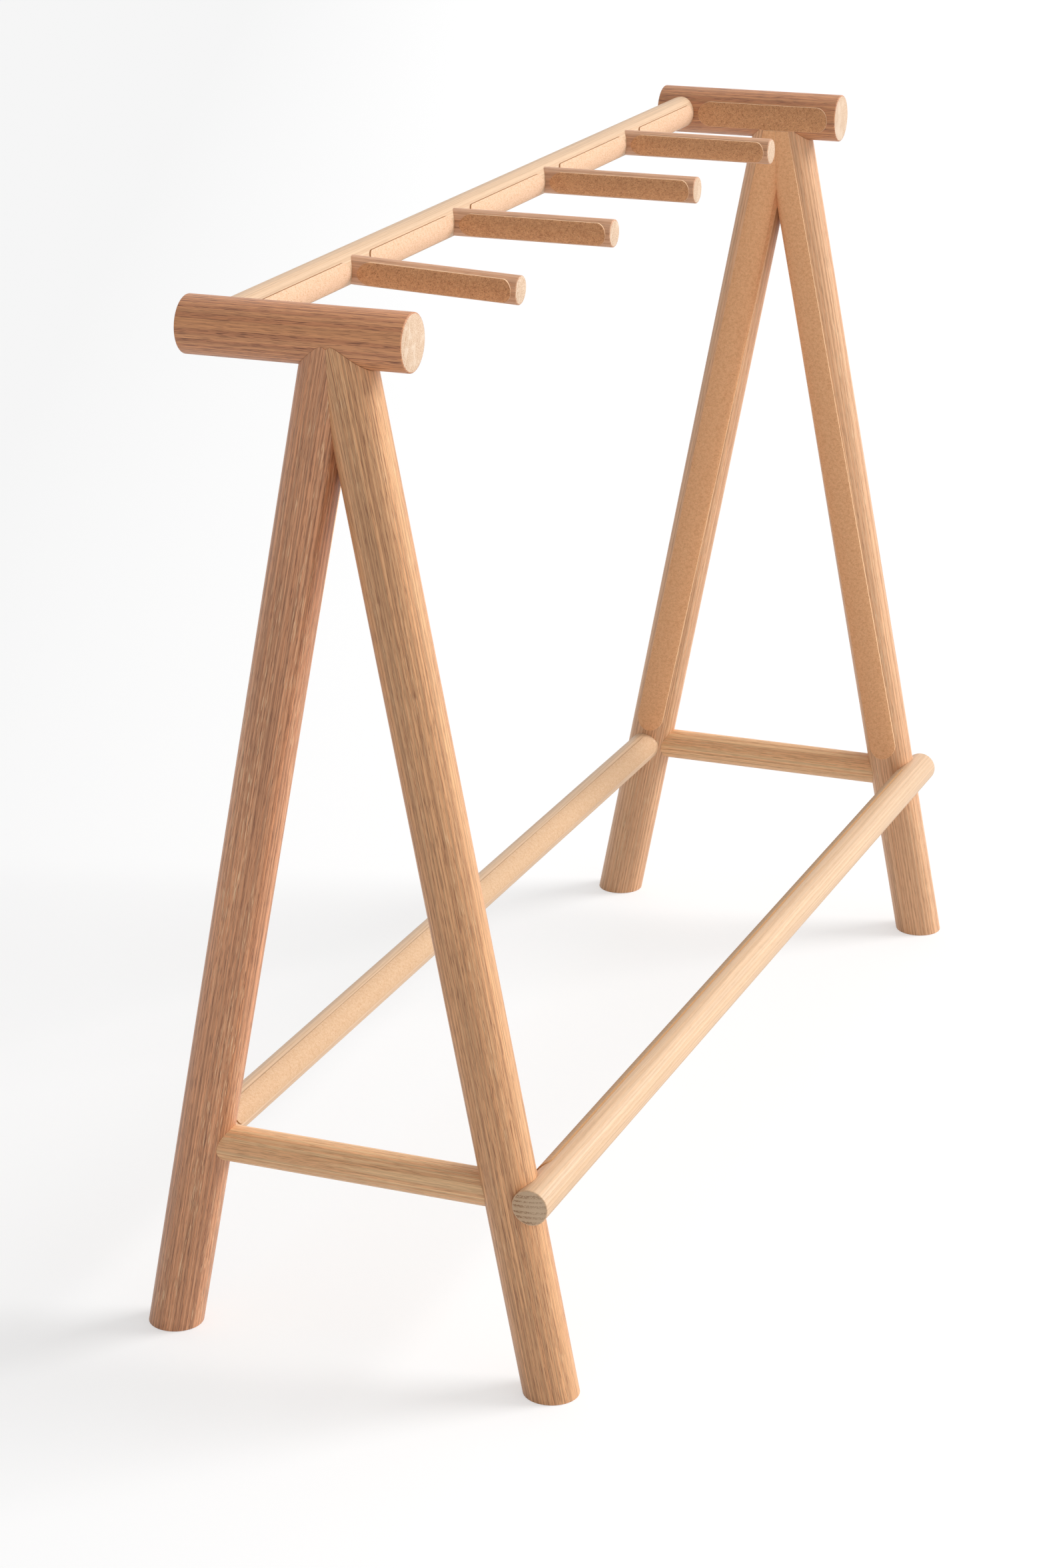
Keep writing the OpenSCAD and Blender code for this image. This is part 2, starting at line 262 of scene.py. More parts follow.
def barSpace(tree, place):
    # coordinates in mm in a bar's own frame, Z along its grain, the tree's heart at the origin
    coords = addNode(tree, "ShaderNodeTexCoord")
    turned = addNode(tree, "ShaderNodeMapping", {"vector_type": "TEXTURE"}, {
        "Vector": coords.outputs["Object"], "Location": place["start"],
        "Rotation": place["turn"], "Scale": (mm, mm, mm)})
    return addNode(tree, "ShaderNodeVectorMath", {"operation": "ADD"}, {
        0: turned.outputs[0], 1: (*place["heart"], place["shift"])})


def growthRings(tree, wood, width, drift):
    # 0 at the start of a ring's early wood, 1 at the end of its late wood
    slow = addNode(tree, "ShaderNodeVectorMath", {"operation": "MULTIPLY"},
                   {0: wood.outputs[0], 1: (1, 1, oak["driftStretch"])})
    wave = addNode(tree, "ShaderNodeTexNoise", None,
                   {"Vector": slow.outputs[0], "Scale": 0.5 / oak["driftSpan"], "Detail": 2.0})
    centred = addNode(tree, "ShaderNodeVectorMath", {"operation": "SUBTRACT"},
                      {0: wave.outputs["Color"], 1: (0.5, 0.5, 0.5)})
    wander = addNode(tree, "ShaderNodeVectorMath", {"operation": "MULTIPLY_ADD"},
                     {0: centred.outputs[0], 1: (drift,) * 3, 2: wood.outputs[0]})
    flat = addNode(tree, "ShaderNodeVectorMath", {"operation": "MULTIPLY"},
                   {0: wander.outputs[0], 1: (1, 1, 0)})
    radius = addNode(tree, "ShaderNodeVectorMath", {"operation": "LENGTH"}, {0: flat.outputs[0]})
    years = addNode(tree, "ShaderNodeTexNoise", {"noise_dimensions": "1D"},
                    {"W": radius.outputs["Value"], "Scale": 0.3 / width, "Detail": 1.0})
    uneven = addNode(tree, "ShaderNodeMath", {"operation": "MULTIPLY_ADD"},
                     {0: years.outputs[0], 1: width * oak["ringUneven"],
                      2: radius.outputs["Value"]})
    count = addNode(tree, "ShaderNodeMath", {"operation": "DIVIDE"},
                    {0: uneven.outputs[0], 1: width})
    return addNode(tree, "ShaderNodeMath", {"operation": "FRACT"}, {0: count.outputs[0]})


def streaks(tree, wood, width, length, low, high, detail=1.0):
    # threads along the grain, from 0 to 1; the noise runs through a light and a dark thread
    # in one wave, so its scale is half of one over the width
    drawn = addNode(tree, "ShaderNodeVectorMath", {"operation": "MULTIPLY"},
                    {0: wood.outputs[0], 1: (1, 1, width / length)})
    noise = addNode(tree, "ShaderNodeTexNoise", None,
                    {"Vector": drawn.outputs[0], "Scale": 0.5 / width, "Detail": detail,
                     "Roughness": 0.6})
    return addNode(tree, "ShaderNodeMapRange", None,
                   {"Value": noise.outputs[0], "From Min": low, "From Max": high})


def makeOak(name, look, place):
    material, tree = newMaterial(name)
    wood = barSpace(tree, place)
    ring = growthRings(tree, wood, oak["ringWidth"], oak["ringDrift"])
    early = addNode(tree, "ShaderNodeValToRGB", None, {"Fac": ring.outputs[0]},
                    ramp=[(0.0, 1.0), (0.35, 0.85), (0.55, 0.15), (0.92, 0.05), (1.0, 1.0)])
    body = addNode(tree, "ShaderNodeValToRGB", None, {"Fac": early.outputs[0]},
                   ramp=[(0.0, look["light"]), (1.0, look["dark"])])
    fibre = streaks(tree, wood, oak["fibreWidth"], oak["fibreLength"], 0.36, 0.64, detail=2.0)
    strand = streaks(tree, wood, oak["strandWidth"], oak["strandLength"], 0.4, 0.6)
    patch = streaks(tree, wood, oak["patchWidth"], oak["patchLength"], 0.3, 0.7, detail=2.0)
    fibreShade = addNode(tree, "ShaderNodeMapRange", None, {
        "Value": fibre.outputs[0], "To Min": 1 - look["fibres"] * 0.5,
        "To Max": 1 + look["fibres"] * 0.3})
    strandShade = addNode(tree, "ShaderNodeMapRange", None, {
        "Value": strand.outputs[0], "To Min": 1 - look["fibres"] * 0.4,
        "To Max": 1 + look["fibres"] * 0.3})
    patchShade = addNode(tree, "ShaderNodeMapRange", None, {
        "Value": patch.outputs[0], "To Min": 0.94, "To Max": 1.05})
    fine = addNode(tree, "ShaderNodeMath", {"operation": "MULTIPLY"},
                   {0: fibreShade.outputs[0], 1: strandShade.outputs[0]})
    shade = addNode(tree, "ShaderNodeMath", {"operation": "MULTIPLY"},
                    {0: fine.outputs[0], 1: patchShade.outputs[0]})
    shaded = addNode(tree, "ShaderNodeVectorMath", {"operation": "SCALE"},
                     {0: body.outputs[0], "Scale": shade.outputs[0]})
    pore = streaks(tree, wood, oak["poreWidth"], oak["poreLength"], 0.55, 0.62)
    crowd = addNode(tree, "ShaderNodeMapRange", None, {"Value": early.outputs[0], "To Min": 0.5})
    poreHere = addNode(tree, "ShaderNodeMath", {"operation": "MULTIPLY"},
                       {0: pore.outputs[0], 1: crowd.outputs[0]})
    poreMix = addNode(tree, "ShaderNodeMath", {"operation": "MULTIPLY"},
                      {0: poreHere.outputs[0], 1: look["pores"]})
    withPores = addNode(tree, "ShaderNodeMix", {"data_type": "RGBA"}, {
        0: poreMix.outputs[0], 6: shaded.outputs[0], 7: toLinear(look["pore"])})
    rays = streaks(tree, wood, oak["rayWidth"], oak["rayLength"], 0.6, 0.68)
    rayZone = streaks(tree, wood, oak["rayZoneWidth"], oak["rayZoneLength"], 0.45, 0.6)
    rayHere = addNode(tree, "ShaderNodeMath", {"operation": "MULTIPLY"},
                      {0: rays.outputs[0], 1: rayZone.outputs[0]})
    rayMix = addNode(tree, "ShaderNodeMath", {"operation": "MULTIPLY"},
                     {0: rayHere.outputs[0], 1: look["rays"]})
    colour = addNode(tree, "ShaderNodeMix", {"data_type": "RGBA"}, {
        0: rayMix.outputs[0], 6: withPores.outputs[2], 7: toLinear(look["ray"])})
    height = addNode(tree, "ShaderNodeMath", {"operation": "MULTIPLY_ADD"},
                     {0: poreHere.outputs[0], 1: -1.0, 2: 1.0})
    surface = addNode(tree, "ShaderNodeMath", {"operation": "MULTIPLY_ADD"},
                      {0: fibre.outputs[0], 1: 0.25, 2: height.outputs[0]})
    bump = addNode(tree, "ShaderNodeBump", None, {
        "Height": surface.outputs[0], "Strength": oak["reliefStrength"],
        "Distance": oak["relief"]})
    shader = addNode(tree, "ShaderNodeBsdfPrincipled", None, {
        "Base Color": colour.outputs[2], "Roughness": oak["roughness"],
        "IOR": oak["ior"], "Normal": bump.outputs[0],
        "Coat Weight": oak["oil"], "Coat Roughness": oak["oilRoughness"]})
    addNode(tree, "ShaderNodeOutputMaterial", None, {"Surface": shader.outputs[0]})
    return material


def makeEndGrain(name, look, place):
    # oak cut across the grain: each ring's early wood is a row of open pores, and pale rays
    # spread from the heart
    material, tree = newMaterial(name)
    wood = barSpace(tree, place)
    ring = growthRings(tree, wood, place.get("endRing", oak["ringWidth"]), oak["endDrift"])
    early = addNode(tree, "ShaderNodeValToRGB", None, {"Fac": ring.outputs[0]},
                    ramp=[(0.0, 1.0), (0.3, 0.9), (0.5, 0.1), (0.92, 0.05), (1.0, 1.0)])
    dots = streaks(tree, wood, oak["endPoreWidth"], oak["endPoreLength"], 0.4, 0.55)
    poreMix = addNode(tree, "ShaderNodeMath", {"operation": "MULTIPLY"},
                      {0: dots.outputs[0], 1: early.outputs[0]})
    withPores = addNode(tree, "ShaderNodeMix", {"data_type": "RGBA"}, {
        0: poreMix.outputs[0], 6: toLinear(look["wood"]), 7: toLinear(look["pore"])})
    polar = addNode(tree, "ShaderNodeVectorMath", {"operation": "NORMALIZE"},
                    {0: wood.outputs[0]})
    rays = addNode(tree, "ShaderNodeTexNoise", None,
                   {"Vector": polar.outputs[0], "Scale": 60.0, "Detail": 1.0})
    rayMask = addNode(tree, "ShaderNodeMapRange", None, {
        "Value": rays.outputs[0], "From Min": 0.55, "From Max": 0.7, "To Max": 0.5})
    colour = addNode(tree, "ShaderNodeMix", {"data_type": "RGBA"}, {
        0: rayMask.outputs[0], 6: withPores.outputs[2], 7: toLinear(look["ray"])})
    depth = addNode(tree, "ShaderNodeMath", {"operation": "MULTIPLY"},
                    {0: poreMix.outputs[0], 1: -1.0})
    bump = addNode(tree, "ShaderNodeBump", None, {
        "Height": depth.outputs[0], "Strength": oak["reliefStrength"],
        "Distance": oak["relief"]})
    shader = addNode(tree, "ShaderNodeBsdfPrincipled", None, {
        "Base Color": colour.outputs[2], "Roughness": oak["endRoughness"],
        "IOR": oak["ior"], "Normal": bump.outputs[0]})
    addNode(tree, "ShaderNodeOutputMaterial", None, {"Surface": shader.outputs[0]})
    return material


endFacing = 0.97                  # cosine within which a face looks along the bar


def finishWood(piece, node, tone, endTone, place, endWays):
    # endWays: the directions that cut ends face
    tidySurface(piece)
    piece.data.materials.clear()
    piece.data.materials.append(makeOak("oak oiled " + node, oakTones[tone], place))
    piece.data.materials.append(makeEndGrain("oak end grain " + node, endTones[endTone], place))
    for face in piece.data.polygons:
        isEnd = any(face.normal.dot(way) > endFacing for way in endWays)
        face.material_index = 1 if isEnd else 0
    standIn(piece, node)


# Cork sheet pressed from fine granules and sanded: soft, matt and mottled, with a few dark
# specks of bark. The cut edge of the sheet shows as a thin line round each strip, coloured as a
# painted highlight on the pegs, head bars and legs and as a dark line on the rails.
corkSheet = {
    "granule": 0.8,               # mm
    "granuleShare": 0.45,         # how much single granules tell beside their clumps
    "mottle": 1.6,                # mm, clumps of darker and lighter granules
    "speck": 0.55,                # mm
    "edgeCloud": 1.0,             # mm
    "roughness": 0.85,
    "ior": 1.4,
    "relief": 0.1 * mm,
    "reliefStrength": 0.5,
}
# One cork in four tones set by how light falls on each place: the rail, lower-rail and leg tones
# are painted light, paler than the peg tone used on the pegs and head bars. Each edge colour is
# the strip's cut edge: a painted highlight, pale, on the pegs, head bars and legs, and a dark
# line on the rails.
corkTones = {
    "peg": {"light": "#daa071", "dark": "#c1875d", "speck": "#865535", "fleck": "#efb98b",
            "specks": 0.5, "edge": "#fcd5ad"},
    "rail": {"light": "#e7c1a2", "dark": "#deb390", "speck": "#be9166", "fleck": "#eccbae",
             "specks": 0.6, "edge": "#a5764d"},
    "lower": {"light": "#d3b18f", "dark": "#c9a37f", "speck": "#ba8c5d", "fleck": "#dcc0a3",
              "specks": 0.4, "edge": "#ba8c5f"},
    "leg": {"light": "#f4ba89", "dark": "#e3a676", "speck": "#ba8054", "fleck": "#ffca9c",
            "specks": 0.2, "edge": "#ffd7aa"},
}


def millimetres(tree):
    coords = addNode(tree, "ShaderNodeTexCoord")
    return addNode(tree, "ShaderNodeVectorMath", {"operation": "SCALE"},
                   {0: coords.outputs["Object"], "Scale": 1 / mm})


def makeCork(name, look):
    material, tree = newMaterial(name)
    inMm = millimetres(tree)
    grains = addNode(tree, "ShaderNodeTexVoronoi", None,
                     {"Vector": inMm.outputs[0], "Scale": 0.8 / corkSheet["granule"]})
    grainTone = addNode(tree, "ShaderNodeSeparateColor", None, {0: grains.outputs["Color"]})
    cloud = addNode(tree, "ShaderNodeTexNoise", None,
                    {"Vector": inMm.outputs[0], "Scale": 0.5 / corkSheet["mottle"],
                     "Detail": 3.0, "Roughness": 0.75})
    cloudTone = addNode(tree, "ShaderNodeMapRange", None, {
        "Value": cloud.outputs[0], "From Min": 0.35, "From Max": 0.65})
    blend = addNode(tree, "ShaderNodeMath", {"operation": "MULTIPLY_ADD"},
                    {0: grainTone.outputs[0], 1: corkSheet["granuleShare"],
                     2: cloudTone.outputs[0]})
    body = addNode(tree, "ShaderNodeValToRGB", None, {"Fac": blend.outputs[0]},
                   ramp=[(0.1, look["dark"]), (1.0, look["light"])])
    bark = addNode(tree, "ShaderNodeTexNoise", None,
                   {"Vector": inMm.outputs[0], "Scale": 0.5 / corkSheet["speck"], "Detail": 1.0})
    barkHere = addNode(tree, "ShaderNodeMapRange", None, {
        "Value": bark.outputs[0], "From Min": 0.58, "From Max": 0.68, "To Max": look["specks"]})
    specked = addNode(tree, "ShaderNodeMix", {"data_type": "RGBA"}, {
        0: barkHere.outputs[0], 6: body.outputs[0], 7: toLinear(look["speck"])})
    flecks = addNode(tree, "ShaderNodeMapRange", None, {
        "Value": bark.outputs[0], "From Min": 0.36, "From Max": 0.3, "To Max": 0.6})
    colour = addNode(tree, "ShaderNodeMix", {"data_type": "RGBA"}, {
        0: flecks.outputs[0], 6: specked.outputs[2], 7: toLinear(look["fleck"])})
    bump = addNode(tree, "ShaderNodeBump", None, {
        "Height": grains.outputs["Distance"], "Strength": corkSheet["reliefStrength"],
        "Distance": corkSheet["relief"]})
    shader = addNode(tree, "ShaderNodeBsdfPrincipled", None, {
        "Base Color": colour.outputs[2], "Roughness": corkSheet["roughness"],
        "IOR": corkSheet["ior"], "Normal": bump.outputs[0]})
    addNode(tree, "ShaderNodeOutputMaterial", None, {"Surface": shader.outputs[0]})
    return material


def makeCorkEdge(name, look):
    # the sheet's knife-cut edge, smoother than its face; its colour is a painted highlight on the
    # pegs, head bars and legs, and a dark line on the rails
    material, tree = newMaterial(name)
    inMm = millimetres(tree)
    cloud = addNode(tree, "ShaderNodeTexNoise", None,
                    {"Vector": inMm.outputs[0], "Scale": 0.5 / corkSheet["edgeCloud"],
                     "Detail": 3.0})
    shade = addNode(tree, "ShaderNodeMapRange", None, {
        "Value": cloud.outputs[0], "From Min": 0.3, "From Max": 0.7,
        "To Min": 0.88, "To Max": 1.06})
    colour = addNode(tree, "ShaderNodeVectorMath", {"operation": "SCALE"},
                     {0: toLinear(look["edge"])[:3], "Scale": shade.outputs[0]})
    shader = addNode(tree, "ShaderNodeBsdfPrincipled", None, {
        "Base Color": colour.outputs[0], "Roughness": corkSheet["roughness"],
        "IOR": corkSheet["ior"]})
    addNode(tree, "ShaderNodeOutputMaterial", None, {"Surface": shader.outputs[0]})
    return material


headBar = {
    "radius": 24 * mm,
    "left": 132 * mm,             # from the apex to the end that carries the top rail
    "right": 64 * mm,
    "arris": 1.2 * mm,            # rounding of the sanded ends
    "dowelRadius": 5 * mm,        # two upright dowels hold the bar on its legs
    "dowelLength": 56 * mm,
    "dowelOffset": 14 * mm,
    "dowelCover": 3 * mm,         # from the dowels' tops to the bar's axis
}
headZ = rack["height"] - headBar["radius"]
apexZ = headZ + rack["apexRise"]
frameY = rack["frameSpacing"] / 2
dowelFoot = headZ - headBar["dowelCover"] - headBar["dowelLength"]


def headCutter(margin):
    return addBar("cutter", (-headBar["left"] - margin, -frameY, headZ), along["x"],
                  headBar["radius"] + margin, headBar["left"] + headBar["right"] + 2 * margin)


def boreUpright(piece):
    for side in (left, right):
        start = (side * headBar["dowelOffset"], -frameY, dowelFoot - joinery["spareDepth"])
        carve(piece, addBore(start, along["z"], headBar["dowelRadius"],
                             headBar["dowelLength"] + 2 * joinery["spareDepth"]))


def boreForRail(piece, x, z):
    # blind bore in the front frame for a long rail's tenon
    start = (x, -frameY + joinery["tenonStop"] - joinery["spareDepth"], z)
    carve(piece, addBore(start, along["y"], joinery["tenonRadius"], 2 * joinery["overrun"]))


def makeHeadBars():
    bar = headCutter(0)
    bar.name = "headBarFront"
    breakEdges(bar, lambda face: abs(face.normal.x) > 0.99, headBar["arris"])
    boreForRail(bar, railX, headZ)
    boreUpright(bar)
    pair = [(bar, front, (20, 70), 300),
            (copyPiece(bar, "headBarRear", mirrorY), rear, (16, 90), 900)]
    for piece, end, heart, shift in pair:
        place = {"start": (-headBar["left"], end * frameY, headZ), "turn": along["x"],
                 "heart": heart, "shift": shift, "endRing": 1.4}
        finishWood(piece, "head_bar_" + endWord[end], "head", "pale", place,
                   [Vector((1, 0, 0)), Vector((-1, 0, 0))])


legBar = {
    "radius": 24 * mm,
    "arris": 1 * mm,
    "cope": 0.3 * mm,             # gap under the head bar
    "tipCut": 3 * mm,             # thin tips beside the head bar are sanded off below its axis
    "mitreDowelRadius": 4 * mm,
    "mitreDowelLength": 32 * mm,
    # per leg: tone (partly painted light, lighter on the right front and rear legs), where the
    # tree's heart lies from the leg's axis in mm, and a shift along the grain in mm
    "wood": {
        (left, front): ("legLeft", (110, 40), 100),
        (right, front): ("legRight", (120, 40), 2100),
        (left, rear): ("legRear", (100, 50), 4100),
        (right, rear): ("legRear", (90, 36), 6100),
    },
}
footX = apexZ * math.tan(rack["legAngle"])
legLength = apexZ / math.cos(rack["legAngle"])
crotchZ = apexZ - legBar["radius"] / math.sin(rack["legAngle"])


def legX(z):
    return (apexZ - z) * math.tan(rack["legAngle"])


def legTurn(side):
    return (0, -side * rack["legAngle"], 0)


def legCutter(side, margin):
    direction = Euler(legTurn(side)).to_matrix() @ Vector((0, 0, 1))
    start = Vector((side * footX, -frameY, 0)) - direction * joinery["overrun"]
    return addBar("cutter", start, legTurn(side), legBar["radius"] + margin,
                  legLength + joinery["overrun"])


def makeLegs():
    leg = legCutter(left, 0)
    leg.name = "legFrontLeft"
    slicePlane(leg, (0, 0, 0), (0, 0, -1))
    slicePlane(leg, (0, 0, headZ - legBar["tipCut"]), (0, 0, 1))
    slicePlane(leg, (-joinery["glueLine"] / 2, 0, 0), (1, 0, 0))
    breakEdges(leg, lambda face: face.normal.z < -0.99, legBar["arris"])
    carve(leg, headCutter(legBar["cope"]))
    boreUpright(leg)
    reach = legBar["mitreDowelLength"] / 2 + joinery["spareDepth"]
    carve(leg, addBore((-reach, -frameY, (crotchZ + dowelFoot) / 2), along["x"],
                       legBar["mitreDowelRadius"], 2 * reach))
    reach = legX(rack["lowerHeight"]) - joinery["tenonStop"] + joinery["spareDepth"]
    carve(leg, addBore((-reach, -frameY, rack["lowerHeight"]), along["x"],
                       joinery["tenonRadius"], reach))
    rightLeg = copyPiece(leg, "legFrontRight", mirrorX)
    boreForRail(leg, lowerX[left], rack["lowerHeight"])
    cutHousing(rightLeg)
    legs = {(left, front): leg, (right, front): rightLeg,
            (left, rear): copyPiece(leg, "legRearLeft", mirrorY),
            (right, rear): copyPiece(rightLeg, "legRearRight", mirrorY)}
    for (side, end), piece in legs.items():
        tone, heart, shift = legBar["wood"][(side, end)]
        place = {"start": (side * footX, end * frameY, 0), "turn": legTurn(side),
                 "heart": heart, "shift": shift}
        finishWood(piece, "leg_%s_%s" % (endWord[end], sideWord[side]), tone, "brown",
                   place, [Vector((0, 0, -1))])


crossbar = {"radius": 16 * mm, "hearts": {front: (20, 80), rear: (36, 60)}}


def makeCrossbars():
    half = legX(rack["lowerHeight"])
    bar = addBar("crossbarFront", (-half, -frameY, rack["lowerHeight"]), along["x"],
                 crossbar["radius"], 2 * half)
    for side in (left, right):
        carve(bar, legCutter(side, joinery["glueLine"]))
    reach = half - joinery["tenonStop"]
    carve(bar, addBar("tenons", (-reach, -frameY, rack["lowerHeight"]), along["x"],
                      joinery["tenonRadius"], 2 * reach, joinery["dowelFacets"]), "UNION")
    pair = [(bar, front), (copyPiece(bar, "crossbarRear", mirrorY), rear)]
    for piece, end in pair:
        place = {"start": (-half, end * frameY, rack["lowerHeight"]), "turn": along["x"],
                 "heart": crossbar["hearts"][end], "shift": 1500 + 400 * end}
        finishWood(piece, "crossbar_" + endWord[end], "cross", "pale", place,
                   [Vector((1, 0, 0)), Vector((-1, 0, 0))])


topRail = {"radius": 16 * mm, "offset": 107 * mm, "heart": (70, 40)}
railX = -topRail["offset"]


def carveBothEnds(bar, makeCutter):
    # cuts the front end of a long rail, then its rear end with the same tool mirrored
    for end in (front, rear):
        cutter = makeCutter()
        if end == rear:
            cutter.data.transform(mirrorY)
            cutter.data.flip_normals()
        carve(bar, cutter)


def addRailTenons(bar, x, z):
    half = frameY - joinery["tenonStop"]
    carve(bar, addBar("tenons", (x, -half, z), along["y"], joinery["tenonRadius"], 2 * half,
                      joinery["dowelFacets"]), "UNION")


def makeTopRail():
    bar = addBar("topRail", (railX, -frameY, headZ), along["y"], topRail["radius"], 2 * frameY)
    carveBothEnds(bar, lambda: headCutter(joinery["glueLine"]))
    addRailTenons(bar, railX, headZ)
    for i in range(peg["count"]):
        bottom = topRail["radius"] - peg["tenonDepth"] - joinery["spareDepth"]
        bore = addBore((bottom, 0, 0), along["x"], peg["tenonRadius"], joinery["overrun"])
        bore.data.transform(pegPlace(i))
        carve(bar, bore)
    place = {"start": (railX, -frameY, headZ), "turn": along["y"], "heart": topRail["heart"],
             "shift": 0}
    # the rail's pale tone is partly painted light, for the sun on it
    finishWood(bar, "top_rail", "pale", "pale", place,
               [Vector((0, -1, 0)), Vector((0, 1, 0))])


lowerRail = {
    "radius": 16 * mm,
    "housing": 15 * mm,           # depth of the right-hand legs' housings
    "arris": 1 * mm,
    "pinRadius": 4 * mm,
    "pinLength": 18 * mm,
    "pinDepth": 5 * mm,           # from the pin's outer end to the rail's axis
    "hearts": {left: (30, 70), right: (12, 110)},
}
lowerOut = legBar["radius"] + lowerRail["radius"] - lowerRail["housing"]
housingZ = rack["lowerHeight"] - lowerOut * math.sin(rack["legAngle"])
lowerX = {left: -legX(rack["lowerHeight"]),
          right: legX(housingZ) + lowerOut * math.cos(rack["legAngle"])}


def pinCutter():
    # bore for the pin through the front housing, square to the leg
    tilt = Euler(legTurn(right)).to_matrix()
    spare = joinery["spareDepth"]
    inner = lowerOut - lowerRail["pinDepth"] + spare - lowerRail["pinLength"]
    start = Vector((legX(housingZ), -frameY, housingZ)) + tilt @ Vector((inner - spare, 0, 0))
    return addBore(start, (0, math.pi / 2 - rack["legAngle"], 0), lowerRail["pinRadius"],
                   lowerRail["pinLength"] + 2 * spare)


def cutHousing(leg):
    start = (lowerX[right], -frameY - joinery["overrun"], rack["lowerHeight"])
    carve(leg, addBar("cutter", start, along["y"], lowerRail["radius"] + joinery["glueLine"],
                      2 * joinery["overrun"]))
    carve(leg, pinCutter())


def makeLowerRails():
    bar = addBar("lowerRailLeft", (lowerX[left], -frameY, rack["lowerHeight"]), along["y"],
                 lowerRail["radius"], 2 * frameY)
    carveBothEnds(bar, lambda: legCutter(left, joinery["glueLine"]))
    addRailTenons(bar, lowerX[left], rack["lowerHeight"])
    place = {"start": (lowerX[left], -frameY, rack["lowerHeight"]), "turn": along["y"],
             "heart": lowerRail["hearts"][left], "shift": 2600}
    ends = [Vector((0, -1, 0)), Vector((0, 1, 0))]
    # the lower rails' pale tone is partly painted light, for the sun on them
    finishWood(bar, "lower_rail_left", "pale", "pale", place, ends)
    start = (lowerX[right], -frameY - legBar["radius"], rack["lowerHeight"])
    bar = addBar("lowerRailRight", start, along["y"], lowerRail["radius"],
                 2 * frameY + 2 * legBar["radius"])
    breakEdges(bar, lambda face: abs(face.normal.y) > 0.99, lowerRail["arris"])
    carveBothEnds(bar, pinCutter)
    place = {"start": start, "turn": along["y"], "heart": lowerRail["hearts"][right],
             "shift": 5200, "endRing": 5.5}
    finishWood(bar, "lower_rail_right", "pale", "brown", place, ends)


peg = {
    "radius": 12.5 * mm,
    "count": 4,
    "first": 240 * mm,            # from the front frame's middle to the first peg
    "pitch": 223 * mm,
    "reach": 165 * mm,            # from the top rail's axis
    "droop": [math.radians(2.4), 0, 0, 0],
    "arris": 1.2 * mm,
    "tenonRadius": 7 * mm,
    "tenonDepth": 22 * mm,
    "hearts": [(14, 60), (30, 50), (12, 64), (34, 48)],
}


def pegY(i):
    return -frameY + peg["first"] + i * peg["pitch"]


def pegPlace(i):
    # a peg's own frame: X along it from the top rail's axis
    return (Matrix.Translation((railX, pegY(i), headZ))
            @ Matrix.Rotation(peg["droop"][i], 4, "Y"))


def makePegs():
    blank = addBar("pegBlank", (0, 0, 0), along["x"], peg["radius"], peg["reach"])
    breakEdges(blank, lambda face: face.normal.x > 0.99, peg["arris"])
    carve(blank, addBar("cutter", (0, -joinery["overrun"], 0), along["y"],
                        topRail["radius"] + joinery["glueLine"], 2 * joinery["overrun"]))
    carve(blank, addBar("tenon", (topRail["radius"] - peg["tenonDepth"], 0, 0), along["x"],
                        peg["tenonRadius"], peg["tenonDepth"] + peg["radius"] / 2,
                        joinery["dowelFacets"]), "UNION")
    for i in range(peg["count"]):
        piece = copyPiece(blank, "peg%d" % (i + 1), pegPlace(i))
        place = {"start": (railX, pegY(i), headZ), "turn": (0, math.pi / 2 + peg["droop"][i], 0),
                 "heart": peg["hearts"][i], "shift": 700 * i, "endRing": 2.0}
        finishWood(piece, "peg_%d" % (i + 1), "peg", "pale", place,
                   [Vector((1, 0, 0)), Vector((-1, 0, 0))])
    bpy.data.objects.remove(blank)


corkStrip = {
    "thickness": 1.2 * mm,
    "width": 20.5 * mm,           # on the rails and pegs, measured round the bar
    "headWidth": 26 * mm,
    "legWidth": 30 * mm,
    "lean": math.radians(0.6),    # of a leg's strip across the leg
    "gap": 5 * mm,                # bare wood before the next joint
    "lead": 12 * mm,              # bare wood behind each peg
    "headEnd": 8 * mm,
    "pegEnd": 4 * mm,
    "turn": math.radians(37),     # of the lower rails' strips, upwards
    "endFacets": 64,              # round both ends of a strip
    "clear": 10 * mm,             # how far a cutter stands out past the sheet
    "softening": 0.8 * mm,        # rounding of the sheet's edge
    "edgeFacing": 0.2,            # cosine within which a face is the sheet's cut edge
    "smoothAngle": math.radians(50),
}


def halfWidth(radius, width):
    return (radius + corkStrip["thickness"]) * math.sin(width / (2 * radius))


def outlineCutter(length, half, depth, matrix):
    # a bar with round ends: one half of a short cylinder is drawn out to the strip's length
    clearSelection()
    bpy.ops.mesh.primitive_cylinder_add(
        vertices=corkStrip["endFacets"], radius=half, depth=depth, location=(0, 0, depth / 2))
    cutter = settle(bpy.context.object)
    bpy.ops.object.mode_set(mode="EDIT")
    bpy.ops.mesh.select_mode(type="VERT")
    bpy.ops.mesh.select_all(action="DESELECT")
    net = bmesh.from_edit_mesh(cutter.data)
    for corner in net.verts:
        corner.select_set(corner.co.x > joinery["weld"])
    net.select_flush_mode()
    bmesh.update_edit_mesh(cutter.data)
    bpy.ops.transform.translate(value=(length - 2 * half, 0, 0))
    bpy.ops.object.mode_set(mode="OBJECT")
    cutter.data.transform(matrix @ Matrix.Translation((half, 0, 0)))
    cutter.data.update()
    return cutter


def stripFrame(place, run, facing):
    # local X along the strip, Z the way it faces
    run, facing = Vector(run).normalized(), Vector(facing).normalized()
    side = facing.cross(run)
    turn = Matrix((run, side, facing)).transposed().to_4x4()
    return Matrix.Translation(place) @ turn


